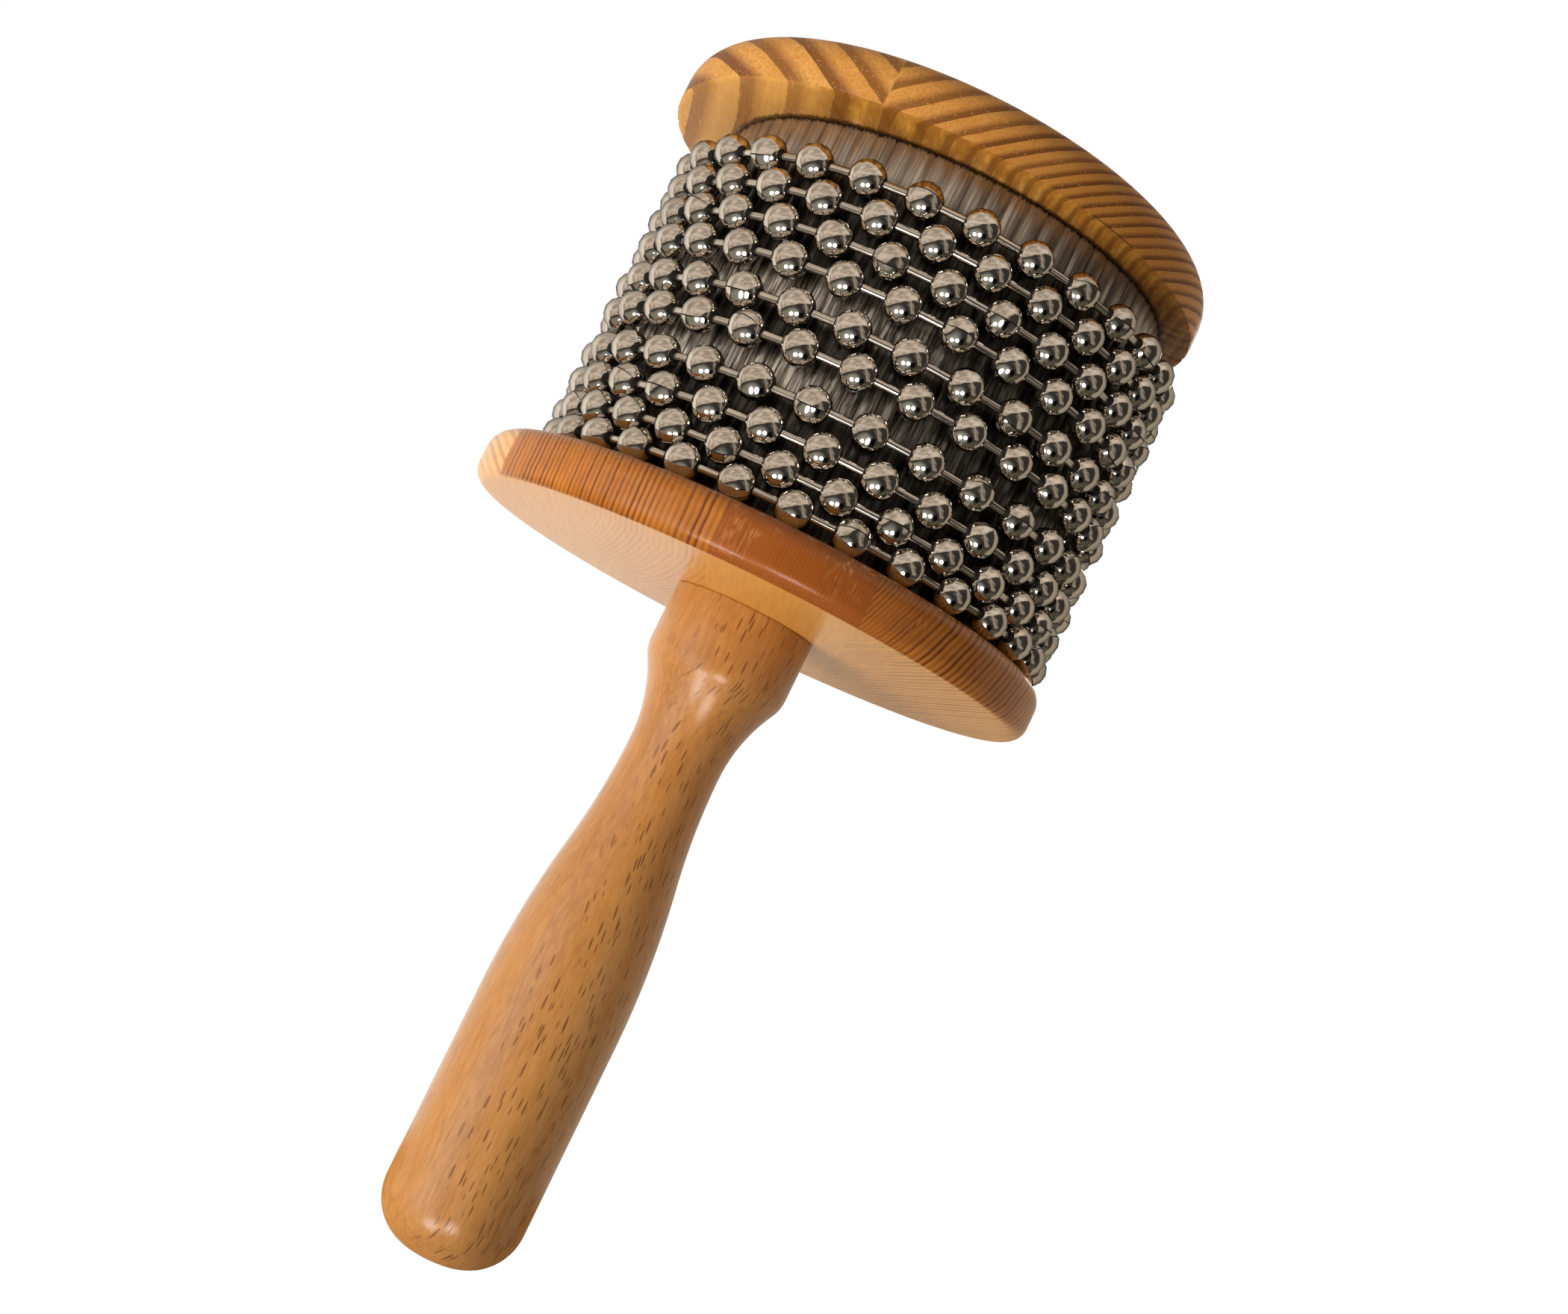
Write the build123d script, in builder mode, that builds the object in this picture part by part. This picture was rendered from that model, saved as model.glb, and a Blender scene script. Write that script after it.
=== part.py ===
"""A hand cabasa: a turned handle, two wooden discs and a fluted steel drum with ten loops of ball chain.

Millimetres. +Z runs from the handle to the head, and the origin is the middle of the straight grip.
The drum stands a little off the handle's axis, towards +X.
"""

import os
from math import atan2, cos, degrees, pi, radians, sin, sqrt, tan

from build123d import *

# Handle, from its rounded end up to the disc
END_ROUND = 9.2
GRIP_RADIUS = 12.6
GRIP_LENGTH = 34.6
SWELL_LENGTH = 48.0
SWELL_ROUND = 160.0
WAIST_RADIUS = 8.4
NECK_LENGTH = 17.1
SHOULDER_ROUND = 7.0
COLLAR_RADIUS = 12.8
COLLAR_LENGTH = 10.4
TENON_RADIUS = 8.0
TENON_IN_CORE = 34.0

# Discs
LOWER_DISC_RADIUS = 52.0
LOWER_DISC_THICKNESS = 9.3
LOWER_HANDLE_ROUND = 2.7
LOWER_DRUM_ROUND = 3.6
UPPER_DISC_RADIUS = 49.5
UPPER_DISC_THICKNESS = 10.7
UPPER_TOP_ROUND = 6.5
UPPER_DRUM_BREAK = 0.5

# Drum
DRUM_OFFSET = 3.0
SLEEVE_RADIUS = 41.1
SLEEVE_SHEET = 0.5
FLUTE_COUNT = 76
FLUTE_DEPTH = 0.4
SEAM_GAP = 0.4
FREE_HEIGHT = 6.4

# Ball chain
BALL_COUNT = 29
BALL_RADIUS = 3.0
BALL_WALL = 0.4
ROD_RADIUS = 0.7
HEAD_LIP = 0.45
HEAD_THICKNESS = 0.6

# Each loop from the lowest up: its turn, in ball pitches from the front, and the gap under its balls
ROWS = [
    (-0.22, 0.15),
    (-0.68, 0.17),
    (-0.22, 0.81),
    (-0.68, 1.42),
    (-0.26, 2.71),
    (-0.64, 0.70),
    (-0.10, 2.32),
    (-0.57, 1.23),
    (-0.04, 1.14),
    (-0.52, 1.13),
]

# Centre screw, from the upper disc through the core into the tenon
SCREW_RADIUS = 2.5
SCREW_IN_TENON = 8.0
SCREW_POINT = 5.0
SCREW_HEAD_RADIUS = 5.0
SCREW_HEAD_ANGLE = 90.0
SCREW_SINK = 0.4
DRIVE_LENGTH = 5.0
DRIVE_WIDTH = 1.2
DRIVE_DEPTH = 1.8

# Fits
GLUE_GAP = 0.1
TENON_END_GAP = 0.5
SCREW_GAP = 0.1
SLEEVE_END_GAP = 0.15
ROD_GAP = 0.25
HEAD_GAP = 0.25
ROW_CLEARANCE = 0.3
CHAIN_CLEARANCE = 0.9

# The loops' own sizes
LOOP_RADIUS = SLEEVE_RADIUS + CHAIN_CLEARANCE + BALL_RADIUS
HALF_PITCH = pi / BALL_COUNT
LINK_PITCH = 2 * LOOP_RADIUS * sin(HALF_PITCH)
BALL_INSIDE = BALL_RADIUS - BALL_WALL
HOLE_RADIUS = ROD_RADIUS + ROD_GAP
HEAD_RADIUS = HOLE_RADIUS + HEAD_LIP
HEAD_REACH = sqrt((BALL_INSIDE - HEAD_GAP) ** 2 - HEAD_RADIUS**2)


def nest_height(turn, turn_below):
    """How far a row's centres stand above the row below when its balls lie in that row's gaps."""
    shift = abs(turn - turn_below) % 1
    sideways = 2 * LOOP_RADIUS * sin(min(shift, 1 - shift) * HALF_PITCH)
    reach = 2 * BALL_RADIUS + ROW_CLEARANCE
    return sqrt(max(reach**2 - sideways**2, 0))


def row_heights(first_height):
    """The height of each loop's centres, from the lowest row up."""
    heights = [first_height]
    for (turn_below, _), (turn, gap) in zip(ROWS, ROWS[1:]):
        heights.append(heights[-1] + nest_height(turn, turn_below) + gap)
    return heights


# Places along the axis
TIP_Z = -GRIP_LENGTH / 2 - END_ROUND
COLLAR_Z = GRIP_LENGTH / 2 + SWELL_LENGTH + NECK_LENGTH
LOWER_DISC_Z = COLLAR_Z + COLLAR_LENGTH
DRUM_Z = LOWER_DISC_Z + LOWER_DISC_THICKNESS
TENON_Z = DRUM_Z + TENON_IN_CORE
ROW_HEIGHTS = row_heights(DRUM_Z + BALL_RADIUS + ROWS[0][1])
UPPER_DISC_Z = ROW_HEIGHTS[-1] + BALL_RADIUS + FREE_HEIGHT
TOP_Z = UPPER_DISC_Z + UPPER_DISC_THICKNESS
SCREW_TOP_Z = TOP_Z - SCREW_SINK
SCREW_TIP_Z = TENON_Z - SCREW_IN_TENON
SCREW_HEAD_SLOPE = tan(radians(SCREW_HEAD_ANGLE / 2))
SCREW_NECK_Z = SCREW_TOP_Z - (SCREW_HEAD_RADIUS - SCREW_RADIUS) / SCREW_HEAD_SLOPE

# The drum's own sizes
CORE_RADIUS = SLEEVE_RADIUS - FLUTE_DEPTH - SLEEVE_SHEET - GLUE_GAP
DRUM_HEIGHT = UPPER_DISC_Z - DRUM_Z
DRUM_FOOT = Plane((DRUM_OFFSET, 0, DRUM_Z))

os.makedirs("parts", exist_ok=True)


def save(piece, name):
    """Names a finished piece and writes it to its own file."""
    piece.label = name
    export_step(piece, f"parts/{name}.step")


def s_curve(step, length):
    """The turn of each of the two arcs that shift a line sideways by step, and the sum of their radii."""
    turn = 2 * atan2(step, length)
    return degrees(turn), length / sin(turn)


# Handle: half its outline, from the rounded end up the outside, turned about the axis
swell_turn, swell_radii = s_curve(GRIP_RADIUS - WAIST_RADIUS, SWELL_LENGTH)
neck_turn, neck_radii = s_curve(COLLAR_RADIUS - WAIST_RADIUS, NECK_LENGTH)
with BuildPart() as handle:
    with BuildSketch(Plane.XZ):
        with BuildLine():
            end_flat = GRIP_RADIUS - END_ROUND
            Line((0, TIP_Z), (end_flat, TIP_Z))
            CenterArc((end_flat, -GRIP_LENGTH / 2), END_ROUND, -90, 90)
            grip = Line((GRIP_RADIUS, -GRIP_LENGTH / 2), (GRIP_RADIUS, GRIP_LENGTH / 2))
            swell = JernArc(grip @ 1, (0, 1), SWELL_ROUND, swell_turn)
            waist = JernArc(swell @ 1, swell % 1, swell_radii - SWELL_ROUND, -swell_turn)
            cove = JernArc(waist @ 1, (0, 1), neck_radii - SHOULDER_ROUND, -neck_turn)
            shoulder = JernArc(cove @ 1, cove % 1, SHOULDER_ROUND, neck_turn)
            Polyline(
                shoulder @ 1,
                (COLLAR_RADIUS, LOWER_DISC_Z),
                (TENON_RADIUS, LOWER_DISC_Z),
                (TENON_RADIUS, TENON_Z),
                (0, TENON_Z),
                (0, TIP_Z),
            )
        make_face()
    revolve(axis=Axis.Z)
    with BuildSketch(Plane.XY.offset(TENON_Z)):
        Circle(SCREW_RADIUS + SCREW_GAP)
    extrude(amount=-SCREW_IN_TENON - SCREW_GAP, mode=Mode.SUBTRACT)
save(handle.part, "handle")

# Lower disc, with the hole that the tenon goes through
with BuildPart() as lower_disc:
    with BuildSketch(Plane.XY.offset(LOWER_DISC_Z)):
        Circle(LOWER_DISC_RADIUS)
    extrude(amount=LOWER_DISC_THICKNESS)
    fillet(lower_disc.edges().group_by(Axis.Z)[0], LOWER_HANDLE_ROUND)
    fillet(lower_disc.edges().group_by(Axis.Z)[-1], LOWER_DRUM_ROUND)
    with Locations((0, 0, DRUM_Z)):
        Hole(TENON_RADIUS + GLUE_GAP)
save(lower_disc.part, "lower_disc")

# Upper disc, with the countersunk hole for the centre screw
with BuildPart() as upper_disc:
    with BuildSketch(Plane.XY.offset(UPPER_DISC_Z)):
        Circle(UPPER_DISC_RADIUS)
    extrude(amount=UPPER_DISC_THICKNESS)
    fillet(upper_disc.edges().group_by(Axis.Z)[-1], UPPER_TOP_ROUND)
    chamfer(upper_disc.edges().group_by(Axis.Z)[0], UPPER_DRUM_BREAK)
    with Locations((0, 0, TOP_Z)):
        CounterSinkHole(
            SCREW_RADIUS + SCREW_GAP,
            SCREW_HEAD_RADIUS + SCREW_SINK * SCREW_HEAD_SLOPE + SCREW_GAP,
            counter_sink_angle=SCREW_HEAD_ANGLE,
        )
save(upper_disc.part, "upper_disc")

# Core: the wooden cylinder between the discs, bored on the handle's axis for the tenon and the screw
with BuildPart() as core:
    with BuildSketch(DRUM_FOOT):
        Circle(CORE_RADIUS)
    extrude(amount=DRUM_HEIGHT)
    with BuildSketch(Plane.XY.offset(DRUM_Z)):
        Circle(TENON_RADIUS + GLUE_GAP)
    extrude(amount=TENON_IN_CORE + TENON_END_GAP, mode=Mode.SUBTRACT)
    with Locations((0, 0, UPPER_DISC_Z)):
        Hole(SCREW_RADIUS + SCREW_GAP)
save(core.part, "core")

# Sleeve: fluted sheet round the core, each flute an arc between two grooves, with a butt seam at the back
sheet_depth = SLEEVE_RADIUS - CORE_RADIUS
with BuildPart() as sleeve:
    with BuildSketch(DRUM_FOOT.offset(SLEEVE_END_GAP)):
        for crest, mode in ((SLEEVE_RADIUS, Mode.ADD), (SLEEVE_RADIUS - SLEEVE_SHEET, Mode.SUBTRACT)):
            with BuildLine():
                step = 360 / FLUTE_COUNT
                for flute in range(FLUTE_COUNT):
                    start = 90 + flute * step
                    ThreePointArc(
                        Vector(crest - FLUTE_DEPTH, 0).rotate(Axis.Z, start),
                        Vector(crest, 0).rotate(Axis.Z, start + step / 2),
                        Vector(crest - FLUTE_DEPTH, 0).rotate(Axis.Z, start + step),
                    )
            make_face(mode=mode)
        with Locations((0, SLEEVE_RADIUS)):
            Rectangle(SEAM_GAP, 2 * sheet_depth, mode=Mode.SUBTRACT)
    extrude(amount=DRUM_HEIGHT - 2 * SLEEVE_END_GAP)
save(sleeve.part, "sleeve")

# Centre screw: half its outline turned about the axis, with a cross-shaped drive
with BuildPart() as centre_screw:
    with BuildSketch(Plane.XZ):
        with BuildLine():
            Polyline(
                (0, SCREW_TIP_Z),
                (SCREW_RADIUS, SCREW_TIP_Z + SCREW_POINT),
                (SCREW_RADIUS, SCREW_NECK_Z),
                (SCREW_HEAD_RADIUS, SCREW_TOP_Z),
                (0, SCREW_TOP_Z),
                close=True,
            )
        make_face()
    revolve(axis=Axis.Z)
    with BuildSketch(Plane.XY.offset(SCREW_TOP_Z)):
        Rectangle(DRIVE_LENGTH, DRIVE_WIDTH)
        Rectangle(DRIVE_WIDTH, DRIVE_LENGTH)
    extrude(amount=-DRIVE_DEPTH, mode=Mode.SUBTRACT)
save(centre_screw.part, "centre_screw")

# One hollow ball: X points out of the loop, and the holes face the two neighbours along the loop
with BuildPart() as ball:
    Sphere(BALL_RADIUS)
    Sphere(BALL_INSIDE, mode=Mode.SUBTRACT)
    for way in (1, -1):
        with BuildSketch(Plane((0, 0, 0), z_dir=(-sin(HALF_PITCH), way * cos(HALF_PITCH), 0))):
            Circle(HOLE_RADIUS)
        extrude(amount=BALL_RADIUS, mode=Mode.SUBTRACT)

# One link: a rod along Y with a head at each end that is wider than the ball's hole
head_outer = LINK_PITCH / 2 - HEAD_REACH
head_inner = head_outer + HEAD_THICKNESS
with BuildPart() as link:
    with BuildSketch(Plane.XY):
        with BuildLine():
            Polyline(
                (0, -head_inner),
                (HEAD_RADIUS, -head_inner),
                (HEAD_RADIUS, -head_outer),
                (ROD_RADIUS, -head_outer),
                (ROD_RADIUS, head_outer),
                (HEAD_RADIUS, head_outer),
                (HEAD_RADIUS, head_inner),
                (0, head_inner),
                close=True,
            )
        make_face()
    revolve(axis=Axis.Y)

# The ten loops: a ring of balls, and a ring of links halfway between them
pitch_degrees = 360 / BALL_COUNT
for row, ((turn, _), height) in enumerate(zip(ROWS, ROW_HEIGHTS), start=1):
    front = -90 + turn * pitch_degrees
    with BuildPart(Plane((DRUM_OFFSET, 0, height))) as balls:
        with PolarLocations(LOOP_RADIUS, BALL_COUNT, front):
            add(ball.part)
    save(balls.part, f"chain_{row:02d}_balls")
    with BuildPart(Plane((DRUM_OFFSET, 0, height))) as links:
        with PolarLocations(LOOP_RADIUS * cos(HALF_PITCH), BALL_COUNT, front + pitch_degrees / 2):
            add(link.part)
    save(links.part, f"chain_{row:02d}_links")

print(f"length {TOP_Z - TIP_Z:.1f}, drum height {DRUM_HEIGHT:.1f}, link pitch {LINK_PITCH:.2f}")
print("row heights above the lower disc", [round(height - LOWER_DISC_Z, 1) for height in ROW_HEIGHTS])
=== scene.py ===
"""A hand cabasa: a beech handle, two glued pine discs, a fluted steel drum and ten loops of ball chain.

Metres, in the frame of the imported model. +Z runs from the handle to the head and the origin is the
middle of the grip. The drum stands a little off the handle's axis, towards +X.
"""

from collections import namedtuple
from math import asin, atan2, cos, pi, radians, sin

import bmesh
import bpy
from mathutils import Euler, Matrix, Vector, noise


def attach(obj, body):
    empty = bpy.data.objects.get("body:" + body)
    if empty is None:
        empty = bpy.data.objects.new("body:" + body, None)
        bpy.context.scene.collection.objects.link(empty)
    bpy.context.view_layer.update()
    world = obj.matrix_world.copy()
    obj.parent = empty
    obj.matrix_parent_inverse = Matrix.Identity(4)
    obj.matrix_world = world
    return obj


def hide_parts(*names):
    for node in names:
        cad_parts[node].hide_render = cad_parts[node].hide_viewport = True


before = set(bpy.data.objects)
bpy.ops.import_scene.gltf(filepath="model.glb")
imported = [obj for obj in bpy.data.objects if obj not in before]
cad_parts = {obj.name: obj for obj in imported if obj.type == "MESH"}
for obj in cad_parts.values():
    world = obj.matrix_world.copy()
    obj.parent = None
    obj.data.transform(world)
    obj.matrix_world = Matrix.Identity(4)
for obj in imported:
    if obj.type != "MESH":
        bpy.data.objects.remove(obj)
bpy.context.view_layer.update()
scene = bpy.context.scene
MM = 0.001

# Handle
TIP_Z = -26.5 * MM
END_ROUND = 9.2 * MM
GRIP_RADIUS = 12.6 * MM
GRIP_HALF = 17.3 * MM
SWELL_ROUND = 160 * MM
WAIST_RADIUS = 8.4 * MM
WAIST_Z = 65.3 * MM
SHOULDER_ROUND = 7 * MM
COLLAR_RADIUS = 12.8 * MM
COLLAR_Z = 82.4 * MM
COLLAR_EDGE = 0.3 * MM
TENON_RADIUS = 8 * MM
TENON_Z = 136.1 * MM

# Discs
LOWER_Z = 92.8 * MM
LOWER_TOP_Z = 102.1 * MM
LOWER_RADIUS = 52 * MM
LOWER_BORE = TENON_RADIUS + 0.1 * MM
LOWER_HANDLE_ROUND = 2.7 * MM
LOWER_DRUM_ROUND = 3.6 * MM
UPPER_Z = 166.741 * MM
UPPER_TOP_Z = 177.441 * MM
UPPER_RADIUS = 49.5 * MM
UPPER_TOP_ROUND = 6.5 * MM
UPPER_BREAK = 0.9 * MM
SCREW_HOLE = 2.6 * MM
SCREW_SINK_RADIUS = 5.5 * MM

# Splinters torn out of the upper disc's drum-side edge
SPLINTER_BAND = 1.2 * MM
SPLINTER_RISE = 0.9 * MM
SPLINTER_PITCH = 26
SPLINTER_INWARD = 0.5 * MM
SPLINTER_UPWARD = 0.3 * MM

# Drum and chains
DRUM_X = 3 * MM
SLEEVE_RADIUS = 41.1 * MM
SLEEVE_SHEET = 0.5 * MM
SLEEVE_END_GAP = 0.15 * MM
SLEEVE_RINGS = 17
FLUTES = 76
FLUTE_COLUMNS = 8
FLUTE_DEPTH = 0.4 * MM
SEAM_GAP = 0.4 * MM
BALLS = 29
BALL_RADIUS = 3 * MM
BALL_HOLE = 1.02 * MM
BALL_SEAM_HALF = 0.11 * MM
BALL_SEAM_DEPTH = 0.22 * MM
ROD_RADIUS = 0.7 * MM
HEAD_RADIUS = 1.4 * MM
HEAD_OUTER = 2.97 * MM
HEAD_INNER = 3.57 * MM
LOOP_RADIUS = 45 * MM

# The corners of a ball's coarse mesh stand out by this much, so that its faces lie on the ball
BALL_CORNERS_OUT = 1.035

# Each loop from the lowest up: its turn in ball pitches from the front, and its height in millimetres
# above the lower disc's handle side
ROWS = [
    (-0.22, 12.450),
    (-0.68, 17.053),
    (-0.22, 22.278),
    (-0.68, 28.135),
    (-0.26, 35.630),
    (-0.64, 41.419),
    (-0.10, 48.171),
    (-0.57, 53.727),
    (-0.04, 59.193),
    (-0.52, 64.541),
]

# Places in ROWS of the rows that have a wide gap above them, where the drum shows
WIDE_GAPS = (3, 5)

# The free strip of the drum starts above the highest loop
CHAIN_TOP_Z = LOWER_Z + 67.5 * MM

# A board in a glued disc, in millimetres:
# where it starts in x,
# where its rings are counted from and how far apart they are there,
# how many more rings there are to the millimetre and how far off,
# how the rings lean and bow,
# how strong the rings and how dark the wood look, and whether a glue line shows at its start
Board = namedtuple("Board", "start origin pitch more fade lean_y bow lean_z strength dark glued")
LOWER_BOARDS = [
    Board(-60, -50.0, 2.10, 0.000, 1, 0.00, 0.0000, 1.20, 0.8, -1.0, False),
    Board(-44.4, -14.0, 1.15, 0.550, -16, 0.04, 0.0016, 0.05, 1.0, 0.0, True),
    Board(-7.7, 0.0, 0.62, 0.000, 1, 0.10, 0.0004, 0.02, 0.3, 1.0, False),
    Board(17.2, 20.0, 0.80, 0.000, 1, 0.22, 0.0000, -0.40, 0.8, 0.4, True),
    Board(25.0, 25.0, 1.25, 0.000, 1, 0.22, 0.0000, -0.40, 1.0, 0.2, False),
]
UPPER_BOARDS = [
    Board(-60, -14.0, -7.70, 0.000, 1, 0.02, 0.0010, 1.30, 1.0, 0.0, False),
    Board(-14.1, -11.74, 6.00, 0.233, 32, 0.03, -0.0008, -1.28, 1.0, 1.0, True),
]

# The lean and bow of a board's rings start this far before the disc's middle, in millimetres
RING_FRONT = 45.0

# Stage
LENS = 46.22
SENSOR_WIDTH = 36
CAMERA_PLACE = (0.00927, -0.34498, 0.05265)
CAMERA_TILT = radians(96.04)
CAMERA_ROLL = radians(25.98)
FLOOR_REACH = 4.0
FLOOR_Z = -0.64
TENT_CENTRE = (DRUM_X, 0, 0.09)
TENT_RADIUS = 0.70
TENT_RINGS = 20
TENT_SIDES = 32
PANE_HALF = 0.07
PANE_END = 0.12
PANE_GLOW = 9.0

# A lamp's name, where it stands and aims, its width in metres and its power in watts
LAMPS = [
    ("side_panel", (-0.85, -0.40, 0.12), (0, 0, 0.08), 0.7, 3.5),
    ("right_panel", (0.80, -0.45, -0.05), (0, 0, 0.08), 0.6, 0.9),
    ("low_panel", (-0.38, -0.41, -0.13), (0, 0, 0.09), 0.45, 4.3),
    ("back_panel", (0.40, 0.70, 0.60), (0, 0, 0.10), 0.8, 8.0),
]


class Nodes:
    """Adds nodes to one tree. A value given to an input is set there, and a socket is linked to it."""

    def __init__(self, tree):
        self.tree = tree

    def feed(self, socket, value):
        if isinstance(value, bpy.types.NodeSocket):
            self.tree.links.new(value, socket)
        else:
            socket.default_value = value

    def wire(self, node, **inputs):
        """Feeds a node's inputs by their names, with _ for a space."""
        for name, value in inputs.items():
            self.feed(node.inputs[name.replace("_", " ")], value)

    def add(self, kind, inputs=(), **settings):
        node = self.tree.nodes.new(kind)
        for setting, value in settings.items():
            setattr(node, setting, value)
        for place, value in dict(inputs).items():
            self.feed(node.inputs[place], value)
        return node

    def math(self, operation, *values, clamp=False):
        settings = {"operation": operation, "use_clamp": clamp}
        return self.add("ShaderNodeMath", enumerate(values), **settings).outputs[0]

    def vector(self, operation, *values, **named):
        inputs = {**dict(enumerate(values)), **named}
        outputs = self.add("ShaderNodeVectorMath", inputs, operation=operation).outputs
        return outputs["Value" if operation == "LENGTH" else "Vector"]

    def axes(self, vector):
        return self.add("ShaderNodeSeparateXYZ", {0: vector}).outputs

    def joined(self, x, y, z):
        return self.add("ShaderNodeCombineXYZ", {"X": x, "Y": y, "Z": z}).outputs[0]

    def total(self, *values):
        result = values[0]
        for value in values[1:]:
            result = self.math("ADD", result, value)
        return result

    def times(self, *values):
        result = values[0]
        for value in values[1:]:
            result = self.math("MULTIPLY", result, value)
        return result

    def less(self, value, taken):
        return self.math("SUBTRACT", value, taken)

    def between(self, value, low, high, to_low=0.0, to_high=1.0):
        """A smooth step of value from low to high."""
        inputs = {"Value": value, "From Min": low, "From Max": high, "To Min": to_low, "To Max": to_high}
        return self.add("ShaderNodeMapRange", inputs, interpolation_type="SMOOTHSTEP").outputs["Result"]

    def blend(self, share, first, second):
        return self.add("ShaderNodeMix", {0: share, 2: first, 3: second}).outputs[0]

    def tint(self, share, first, second):
        return self.add("ShaderNodeMix", {0: share, 6: first, 7: second}, data_type="RGBA").outputs[2]

    def ramp(self, value, stops):
        node = self.add("ShaderNodeValToRGB", {"Fac": value})
        band = node.color_ramp.elements
        while len(band) < len(stops):
            band.new(1.0)
        for mark, (place, shade) in zip(band, stops):
            mark.position = place
            mark.color = (*shade, 1)
        return node.outputs["Color"]

    def shades(self, value, *stops):
        """A ramp of greys from (place, level)."""
        return self.ramp(value, [(place, (level, level, level)) for place, level in stops])

    def stretched(self, vector, scale, turn=(0, 0, 0)):
        inputs = {"Vector": vector, "Scale": scale, "Rotation": turn}
        return self.add("ShaderNodeMapping", inputs).outputs["Vector"]

    def cloud(self, vector, scale, detail=2.0, rough=0.5):
        inputs = {"Vector": vector, "Scale": scale, "Detail": detail, "Roughness": rough}
        return self.add("ShaderNodeTexNoise", inputs).outputs[0]

    def cells(self, vector, scale):
        return self.add("ShaderNodeTexVoronoi", {"Vector": vector, "Scale": scale}).outputs

    def box(self, x, y, centre, half, soft):
        """1 inside a box in x and y, falling to 0 over a soft edge."""
        shares = []
        for value, middle, reach in zip((x, y), centre, half):
            off = self.math("ABSOLUTE", self.less(value, middle))
            shares.append(self.between(off, reach - soft, reach + soft, 1.0, 0.0))
        return self.times(*shares)

    def apart(self, x, y, centre):
        """How far a place is from a centre in x and y."""
        across = self.less(x, centre[0])
        up = self.less(y, centre[1])
        return self.math("SQRT", self.total(self.times(across, across), self.times(up, up)))

    def spot(self, x, y, centre, full, end):
        """1 within a full distance of a centre in x and y, falling to 0 at an end distance."""
        return self.between(self.apart(x, y, centre), full, end, 1.0, 0.0)

    def relief(self, height, depth, strength=1.0):
        inputs = {"Height": height, "Distance": depth, "Strength": strength}
        return self.add("ShaderNodeBump", inputs).outputs["Normal"]


def new_finish(name, **constants):
    """A material with its node helper, its shader and the piece's own coordinates."""
    made = bpy.data.materials.new(name)
    made.use_nodes = True
    n = Nodes(made.node_tree)
    shader = made.node_tree.nodes["Principled BSDF"]
    n.wire(shader, **constants)
    return made, n, shader, n.add("ShaderNodeTexCoord").outputs


def turned_beech():
    """Satin beech: fine even fibre, a few soft rings, short dark ray dashes and some pale brown spots."""
    made, n, shader, coordinates = new_finish("turned_beech", Specular_IOR_Level=0.2, Coat_Roughness=0.25)
    place = coordinates["Object"]
    x, y, z = n.axes(place)
    fibre = n.cloud(n.stretched(place, (1700, 1700, 260)), 1.0, 4.0, 0.6)
    broad = n.cloud(n.stretched(place, (80, 80, 16)), 1.0, 2.0)
    rings = n.math("SINE", n.total(n.times(x, 300.0), n.times(y, 120.0), n.times(broad, 3.0)))
    tone = n.total(n.times(fibre, 0.62), n.times(broad, 0.45), n.times(rings, 0.04))
    dark, middle, light = (0.325, 0.126, 0.025), (0.425, 0.178, 0.038), (0.495, 0.230, 0.058)
    wood = n.ramp(tone, [(0.36, dark), (0.55, middle), (0.76, light)])
    spots = n.between(n.cells(place, 110.0)["Distance"], 0.07, 0.16, 1.0, 0.0)
    spots = n.times(spots, n.between(n.cloud(place, 47.0, 1.0), 0.50, 0.56), 0.45)
    wood = n.tint(spots, wood, (0.30, 0.105, 0.024, 1))
    fine = n.cells(n.stretched(place, (2700, 2700, 165), (0.05, 0.07, 0)), 1.0)["Distance"]
    fine = n.between(fine, 0.12, 0.20, 1.0, 0.0)

    # The rays are thin plates that run in from the front right, so they show as dashes on that side
    from_front_right = n.stretched(place, (1, 1, 1), (0, 0, radians(45)))
    rays = n.cells(n.stretched(from_front_right, (170, 2500, 225)), 1.0)
    size = n.between(rays["Color"], 0.14, 0.66, 0.0, 0.34)
    dash = n.between(n.less(size, rays["Distance"]), 0.0, 0.06)
    facing_x, facing_y, _ = n.axes(coordinates["Normal"])
    cut = n.math("ABSOLUTE", n.times(n.less(facing_x, facing_y), 0.7))
    dash = n.math("MAXIMUM", n.times(dash, n.between(cut, 0.12, 0.65)), n.times(fine, 0.25))

    # The varnish fades at the tip's outline, where it would flare white
    slant = n.add("ShaderNodeLayerWeight", {"Blend": 0.5}).outputs["Facing"]
    tip = n.times(n.between(z, -6 * MM, -14 * MM), n.between(slant, 0.35, 0.60))
    height = n.less(n.times(fibre, 0.5), dash)
    n.wire(
        shader,
        Base_Color=n.tint(n.times(dash, 0.85), wood, (0.135, 0.040, 0.006, 1)),
        Coat_Weight=n.math("MULTIPLY_ADD", tip, -0.95, 0.95),
        Roughness=n.total(n.between(fibre, 0.3, 0.7, 0.38, 0.50), n.times(tip, 0.4)),
        Normal=n.relief(height, 0.03 * MM, 0.7),
        Coat_Normal=n.relief(height, 0.03 * MM, 0.45),
    )
    return made


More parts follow.
